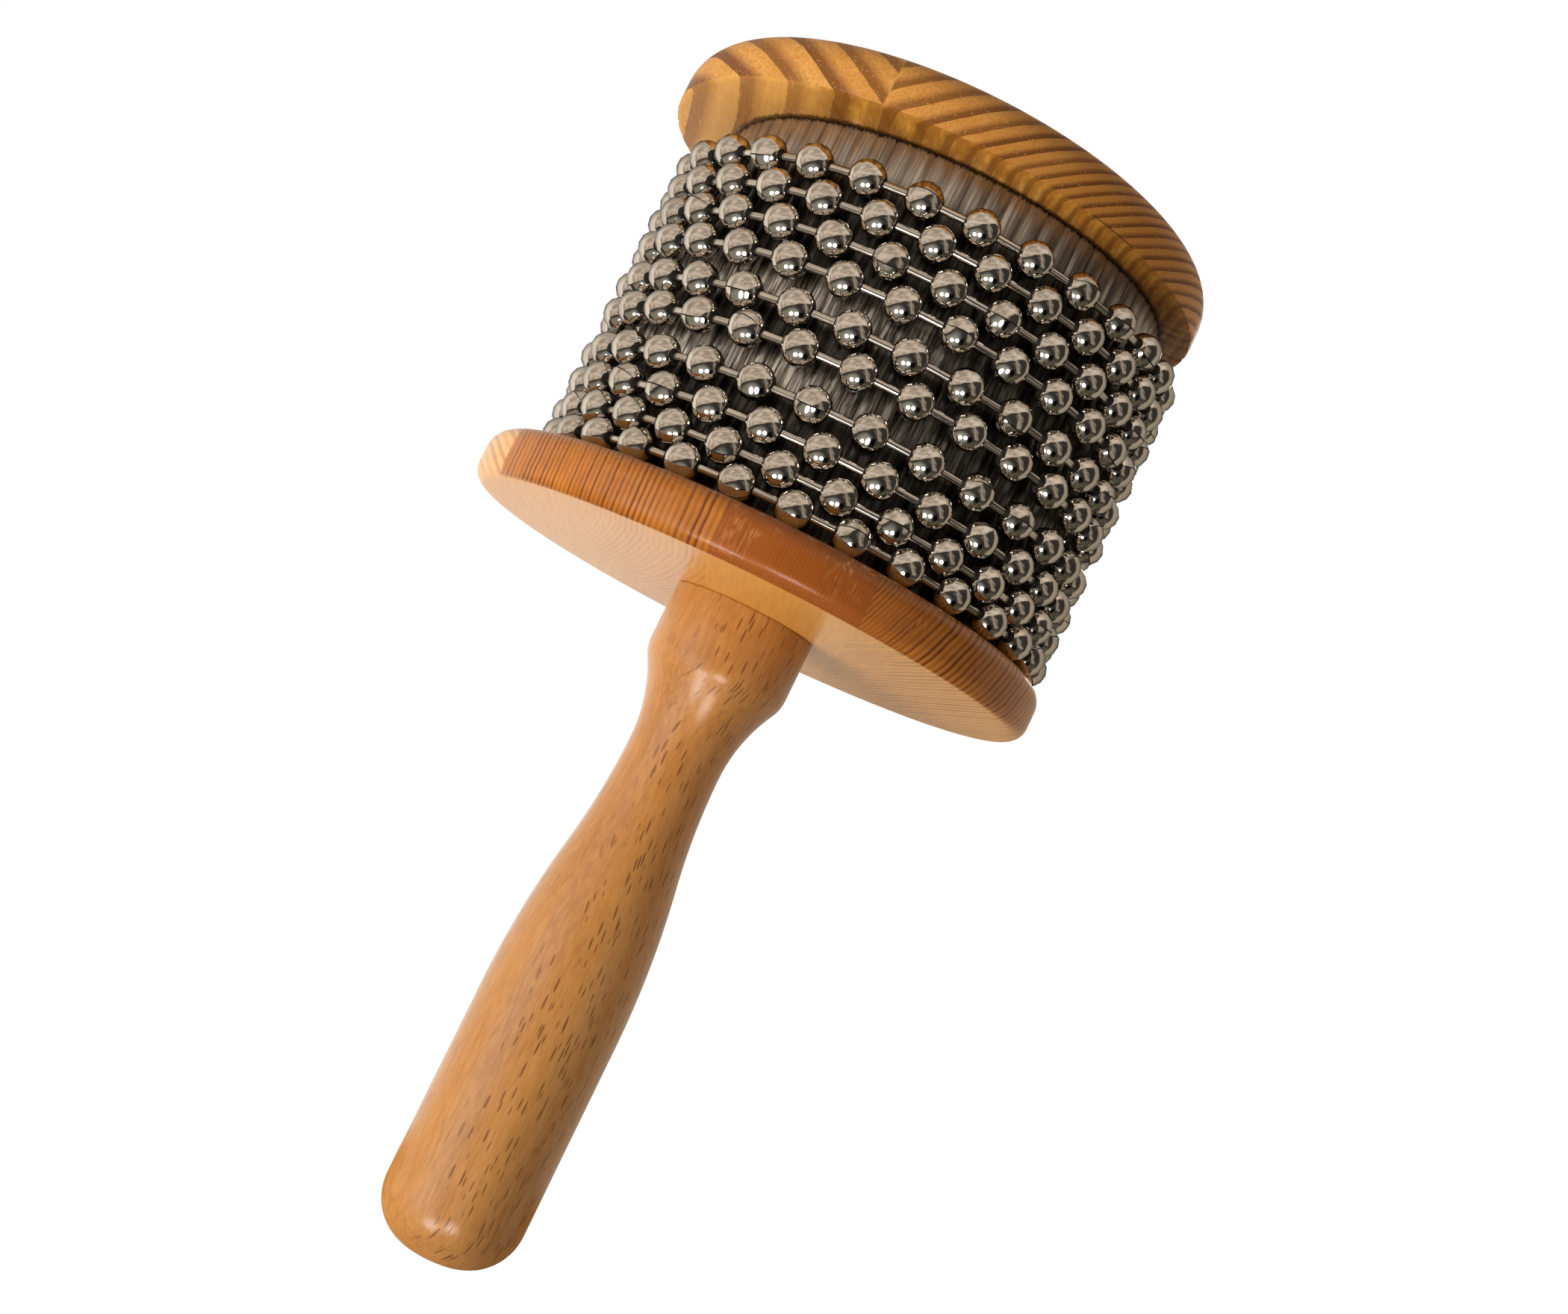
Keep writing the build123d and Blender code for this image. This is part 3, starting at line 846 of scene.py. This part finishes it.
def make_sleeve():
    sleeve = grown(
        "fluted_sleeve",
        sleeve_tree(),
        Crest_Radius=SLEEVE_RADIUS,
        Sheet=SLEEVE_SHEET,
        Flutes=FLUTES,
        Flute_Depth=FLUTE_DEPTH,
        Seam_Gap=SEAM_GAP,
        Foot=LOWER_TOP_Z + SLEEVE_END_GAP,
        Height=UPPER_Z - LOWER_TOP_Z - 2 * SLEEVE_END_GAP,
        Axis_X=DRUM_X,
        Seed=11,
        Steel=fluted_steel(),
        sharp=60,
    )
    dress(sleeve, "frame", "fluted_steel", "sleeve")


def loop_tree():
    """One loop: copies of a template round the drum, each rolled by chance about the chain's line."""
    n, given, result = new_tree(
        "Chain loop",
        Template="Object",
        Count="Int",
        Loop_Radius="Float",
        Height="Float",
        First_Angle="Float",
        Axis_X="Float",
        Roll="Float",
        Seed="Int",
        Metal="Material",
        Seam="Material",
    )
    index = n.add("GeometryNodeInputIndex").outputs[0]
    step = n.math("DIVIDE", 2 * pi, given["Count"])
    angle = n.math("MULTIPLY_ADD", index, step, given["First Angle"])
    where = on_circle(n, angle, given["Loop Radius"], given["Axis X"], given["Height"])
    points = n.add("GeometryNodePoints", {"Count": given["Count"], "Position": where}).outputs[0]
    roll = chance(n, n.times(given["Roll"], -1.0), given["Roll"], index, given["Seed"])
    facing = n.add("FunctionNodeEulerToRotation", {0: n.joined(0.0, roll, angle)}).outputs[0]
    template = n.add("GeometryNodeObjectInfo", {"Object": given["Template"]}).outputs["Geometry"]
    copying = {"Points": points, "Instance": template, "Rotation": facing}
    copies = n.add("GeometryNodeInstanceOnPoints", copying).outputs[0]
    real = n.add("GeometryNodeRealizeInstances", {0: copies}).outputs[0]
    plated = n.add("GeometryNodeSetMaterial", {"Geometry": real, "Material": given["Metal"]}).outputs[0]
    seam = n.add("GeometryNodeInputNamedAttribute", {"Name": "seam"}, data_type="BOOLEAN")
    dark = {"Geometry": plated, "Selection": seam.outputs["Attribute"], "Material": given["Seam"]}
    n.feed(result, n.add("GeometryNodeSetMaterial", dark).outputs[0])
    return n


def template_from(name, points, faces, dark_faces):
    """A template with its dark faces marked."""
    mesh = mesh_of(name, points, faces)
    mark = mesh.attributes.new("seam", "BOOLEAN", "FACE")
    for face in dark_faces:
        mark.data[face].value = True
    return shown(name, mesh)


def round_bands(profile, angles, sink=None):
    """Points, faces and dark faces of a template about Y, capped at its ends.

    The profile gives (radius, place along Y). With a sink the second angle is a seam, that deep.
    """
    points, faces, dark = [], [], []
    for radius, along in profile:
        for place, angle in enumerate(angles):
            reach = radius - (sink if sink and place == 1 else 0)
            points.append((reach * cos(angle), along, reach * sin(angle)))
    around = len(angles)
    for band in range(len(profile) - 1):
        for side in range(around):
            after = (side + 1) % around
            low, high = band * around, (band + 1) * around
            if sink and side < 2:
                dark.append(len(faces))
            faces.append([low + side, low + after, high + after, high + side])
    for cap in (0, len(profile) - 1):
        if sink:
            dark.append(len(faces))
        faces.append([cap * around + side for side in range(around)])
    return points, faces, dark


def ball_template():
    """A rolled ball: a hole at each end and a narrow seam from hole to hole."""
    hole = asin(BALL_HOLE / BALL_RADIUS)
    seam = BALL_SEAM_HALF / BALL_RADIUS
    sides = 13
    angles = [-seam, 0] + [seam + (2 * pi - 2 * seam) * side / sides for side in range(sides)]
    bands = [hole] + [radians(34 + 28 * band) for band in range(5)] + [pi - hole]
    full = BALL_RADIUS * BALL_CORNERS_OUT
    profile = [(full * sin(band), full * cos(band)) for band in bands]
    return template_from("ball_template", *round_bands(profile, angles, sink=BALL_SEAM_DEPTH))


def link_template():
    """A rod with a head at each end, which sits inside the next ball."""
    sides = 10
    angles = [2 * pi * side / sides for side in range(sides)]
    half = [(ROD_RADIUS, HEAD_OUTER), (HEAD_RADIUS, HEAD_OUTER), (HEAD_RADIUS, HEAD_INNER)]
    profile = [(radius, -along) for radius, along in reversed(half)] + half
    return template_from("link_template", *round_bands(profile, angles))


def make_chains():
    tree = loop_tree()
    ball, link = ball_template(), link_template()
    ball_metal = bright_nickel("ball_nickel", dull=0.03, flat=0.2)
    rod_metal = bright_nickel("rod_nickel", dull=0.16, flat=0.05)
    seam = seam_shadow()
    pitch = 2 * pi / BALLS
    for row, (turn, height) in enumerate(ROWS, start=1):
        name = f"chain_{row:02d}"
        shared = dict(Count=BALLS, Height=LOWER_Z + height * MM, Axis_X=DRUM_X, Seed=row * 7, Seam=seam)
        first = -pi / 2 + turn * pitch
        balls = grown(
            name + "_nickel_balls",
            tree,
            Template=ball,
            Loop_Radius=LOOP_RADIUS,
            First_Angle=first,
            Roll=pi,
            Metal=ball_metal,
            sharp=50,
            **shared,
        )
        dress(balls, name, "nickel_balls", name + "_balls")
        links = grown(
            name + "_nickel_links",
            tree,
            Template=link,
            Loop_Radius=LOOP_RADIUS * cos(pitch / 2),
            First_Angle=first + pitch / 2,
            Roll=0.0,
            Metal=rod_metal,
            **shared,
        )
        dress(links, name, "nickel_links", name + "_links")
    bpy.data.objects.remove(ball)
    bpy.data.objects.remove(link)


def repaint(node, finish):
    """Gives a CAD node that is shown as it is a better finish."""
    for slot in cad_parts[node].material_slots:
        slot.material = finish


def stage_mesh(name, points, faces):
    made = shown(name, mesh_of(name, points, faces))
    return made


def empty_tree(owner):
    """The node helper of a world or material whose nodes are cleared."""
    owner.use_nodes = True
    owner.node_tree.nodes.clear()
    return Nodes(owner.node_tree)


def seen_rays(n):
    """1 for rays from the camera, from mirrors and through glass, and 0 for the rest."""
    path = n.add("ShaderNodeLightPath").outputs
    seen = n.math("MAXIMUM", path["Is Camera Ray"], path["Is Glossy Ray"])
    return n.math("MAXIMUM", seen, path["Is Transmission Ray"])


def make_world():
    scene.world = bpy.data.worlds.new("white_studio")
    n = empty_tree(scene.world)
    soft = n.add("ShaderNodeBackground", {"Color": (1.0, 0.93, 0.84, 1), "Strength": 0.24})
    white = n.add("ShaderNodeBackground", {"Color": (1, 1, 1, 1), "Strength": 1.0})
    both = n.add("ShaderNodeMixShader", {0: seen_rays(n), 1: soft.outputs[0], 2: white.outputs[0]})
    n.add("ShaderNodeOutputWorld", {"Surface": both.outputs[0]})


def make_floor():
    corners = [(-1, -1), (1, -1), (1, 1), (-1, 1)]
    points = [(FLOOR_REACH * x, FLOOR_REACH * y, FLOOR_Z) for x, y in corners]
    floor = stage_mesh("pale_floor", points, [(0, 1, 2, 3)])
    paper = bpy.data.materials.new("pale_paper")
    n = empty_tree(paper)
    matt = n.add("ShaderNodeBsdfDiffuse", {"Color": (0.86, 0.86, 0.86, 1)})
    glow = n.add("ShaderNodeEmission", {"Strength": n.times(seen_rays(n), 0.88)})
    both = n.add("ShaderNodeAddShader", {0: matt.outputs[0], 1: glow.outputs[0]})
    n.add("ShaderNodeOutputMaterial", {"Surface": both.outputs[0]})
    floor.data.materials.append(paper)


def make_camera():
    lens = bpy.data.cameras.new("photo_camera")
    lens.lens = LENS
    lens.sensor_width = SENSOR_WIDTH
    lens.clip_start = 0.01
    camera = shown("photo_camera", lens)
    tilt = Euler((CAMERA_TILT, 0, 0)).to_matrix().to_4x4()
    camera.matrix_world = Matrix.Translation(CAMERA_PLACE) @ tilt @ Matrix.Rotation(CAMERA_ROLL, 4, "Z")
    scene.camera = camera
    return camera


def make_lamp(name, place, aim, size, power):
    """A square panel that neither the camera nor a mirror sees."""
    panel = bpy.data.lights.new(name, "AREA")
    panel.shape = "SQUARE"
    panel.size = size
    panel.energy = power
    lamp = shown(name, panel)
    lamp.location = place
    lamp.rotation_euler = (Vector(aim) - Vector(place)).to_track_quat("-Z", "Y").to_euler()
    lamp.visible_glossy = False
    lamp.visible_camera = False


def tent_mesh():
    """The points and faces of a closed ball of cloth."""
    points, faces = [], []
    for ring in range(TENT_RINGS + 1):
        lift = radians(2 + 176 * ring / TENT_RINGS)
        wide, high = TENT_RADIUS * sin(lift), TENT_RADIUS * cos(lift)
        for side in range(TENT_SIDES):
            angle = 2 * pi * side / TENT_SIDES
            points.append((wide * cos(angle), wide * sin(angle), high))
    for ring in range(TENT_RINGS):
        low, high = ring * TENT_SIDES, (ring + 1) * TENT_SIDES
        for side in range(TENT_SIDES):
            after = (side + 1) % TENT_SIDES
            faces.append((low + side, low + after, high + after, high + side))
    last = TENT_RINGS * TENT_SIDES
    faces += [tuple(range(TENT_SIDES)), tuple(range(last, last + TENT_SIDES))]
    return points, faces


def tent_before(n, way, axes, folds):
    """What a ball shows of the side before it: a pale wall above, a dim room below and two bright panes.

    Gives the colours and where the panes are, drawn in the coordinates of a mirror ball.
    """
    half = n.times(n.math("SQRT", n.math("MULTIPLY_ADD", axes["Z"], 0.5, 0.5)), 1.68)
    across, up = n.math("DIVIDE", axes["X"], half), n.math("DIVIDE", axes["Y"], half)
    creases = n.cloud(n.stretched(way, (1.2, 2.4, 1.6)), 1.6, 1.0)
    x = n.total(across, n.times(folds, 0.12), -0.06)
    y = n.total(up, n.times(creases, 0.16), -0.08)
    wall = n.tint(n.between(creases, 0.34, 0.66), (0.82, 0.72, 0.62, 1), (0.46, 0.39, 0.31, 1))
    room = n.tint(n.between(x, 0.0, -0.5), (0.045, 0.042, 0.038, 1), (0.30, 0.285, 0.23, 1))
    shelf = n.total(y, n.times(x, -0.15))
    room = n.tint(n.between(shelf, -0.08, 0.12), room, (0.055, 0.050, 0.042, 1))
    room = n.tint(n.between(y, -0.42, -0.62), room, (0.075, 0.068, 0.045, 1))
    cover = n.tint(n.between(shelf, 0.13, 0.19), room, wall)
    lean = n.total(x, n.times(y, 0.3), n.times(folds, 0.25), -0.125)
    post = n.box(lean, y, (0.40, -0.06), (0.08, 0.34), 0.06)
    cover = n.tint(n.times(post, 0.65), cover, (0.58, 0.50, 0.41, 1))
    halo = n.spot(across, up, (-0.19, -0.31), 0.10, 0.40)
    cover = n.tint(n.times(halo, 0.6), cover, (0.58, 0.58, 0.55, 1))
    cover = n.tint(n.box(x, y, (0.17, -0.43), (0.11, 0.14), 0.03), cover, (0.004, 0.004, 0.004, 1))
    specks = n.between(n.cloud(way, 22.0, 1.0), 0.62, 0.70)
    cover = n.tint(n.times(specks, n.between(y, -0.45, -0.55)), cover, (0.75, 0.70, 0.58, 1))
    centres = [(-0.33, -0.30), (-0.05, -0.33)]
    panes = [n.spot(across, up, centre, PANE_HALF, PANE_END) for centre in centres]
    return cover, n.math("MAXIMUM", *panes)


def tent_behind(n, folds):
    """What lies behind the object, level with the world: a wall, a skirting, a floor and two panes."""
    offset = n.vector("SUBTRACT", n.add("ShaderNodeNewGeometry").outputs["Position"], TENT_CENTRE)
    x, _, z = n.axes(n.vector("NORMALIZE", offset))
    behind = n.tint(n.between(x, 0.12, -0.20), (0.46, 0.400, 0.31, 1), (1.10, 1.02, 0.92, 1))
    behind = n.tint(n.times(n.between(z, 0.1, 0.7), 0.8), behind, (0.50, 0.43, 0.35, 1))
    skirting = n.total(z, n.times(folds, 0.10), -0.05)
    behind = n.tint(n.between(skirting, -0.46, -0.53), behind, (0.050, 0.045, 0.038, 1))
    behind = n.tint(n.between(z, -0.75, -0.92), behind, (0.24, 0.20, 0.15, 1))
    for centre in ((0.30, 0.38), (0.02, 0.42)):
        pane = n.spot(x, z, centre, PANE_HALF, PANE_END)
        behind = n.tint(pane, behind, (4.0, 3.9, 3.7, 1))
    return behind


def make_tent(camera):
    """A tent that only mirrors see, turned to the photo's camera."""
    tent = stage_mesh("studio_tent", *tent_mesh())
    tent.matrix_world = Matrix.Translation(TENT_CENTRE) @ camera.matrix_world.to_3x3().to_4x4()
    for way in ("camera", "diffuse", "transmission", "shadow", "volume_scatter"):
        setattr(tent, "visible_" + way, False)
    cloth = bpy.data.materials.new("tent_cloth")
    n = empty_tree(cloth)
    way = n.vector("NORMALIZE", n.add("ShaderNodeTexCoord").outputs["Object"])
    axes = n.axes(way)
    folds = n.cloud(way, 2.6, 3.0)
    cover, panes = tent_before(n, way, axes, folds)
    cover = n.tint(n.between(axes["Z"], 0.05, -0.15), cover, tent_behind(n, folds))
    cover = n.tint(panes, cover, (1, 1, 1, 1))
    bright = n.math("MULTIPLY_ADD", panes, PANE_GLOW, 1.0)
    light = n.add("ShaderNodeEmission", {"Color": cover, "Strength": bright})
    n.add("ShaderNodeOutputMaterial", {"Surface": light.outputs[0]})
    tent.data.materials.append(cloth)


make_handle()
make_lower_disc()
make_upper_disc()
make_sleeve()
make_chains()
repaint("core", core_pine())
repaint("centre_screw", zinc_screw())

scene.view_settings.view_transform = "Standard"
make_world()
make_floor()
for lamp in LAMPS:
    make_lamp(*lamp)
make_tent(make_camera())
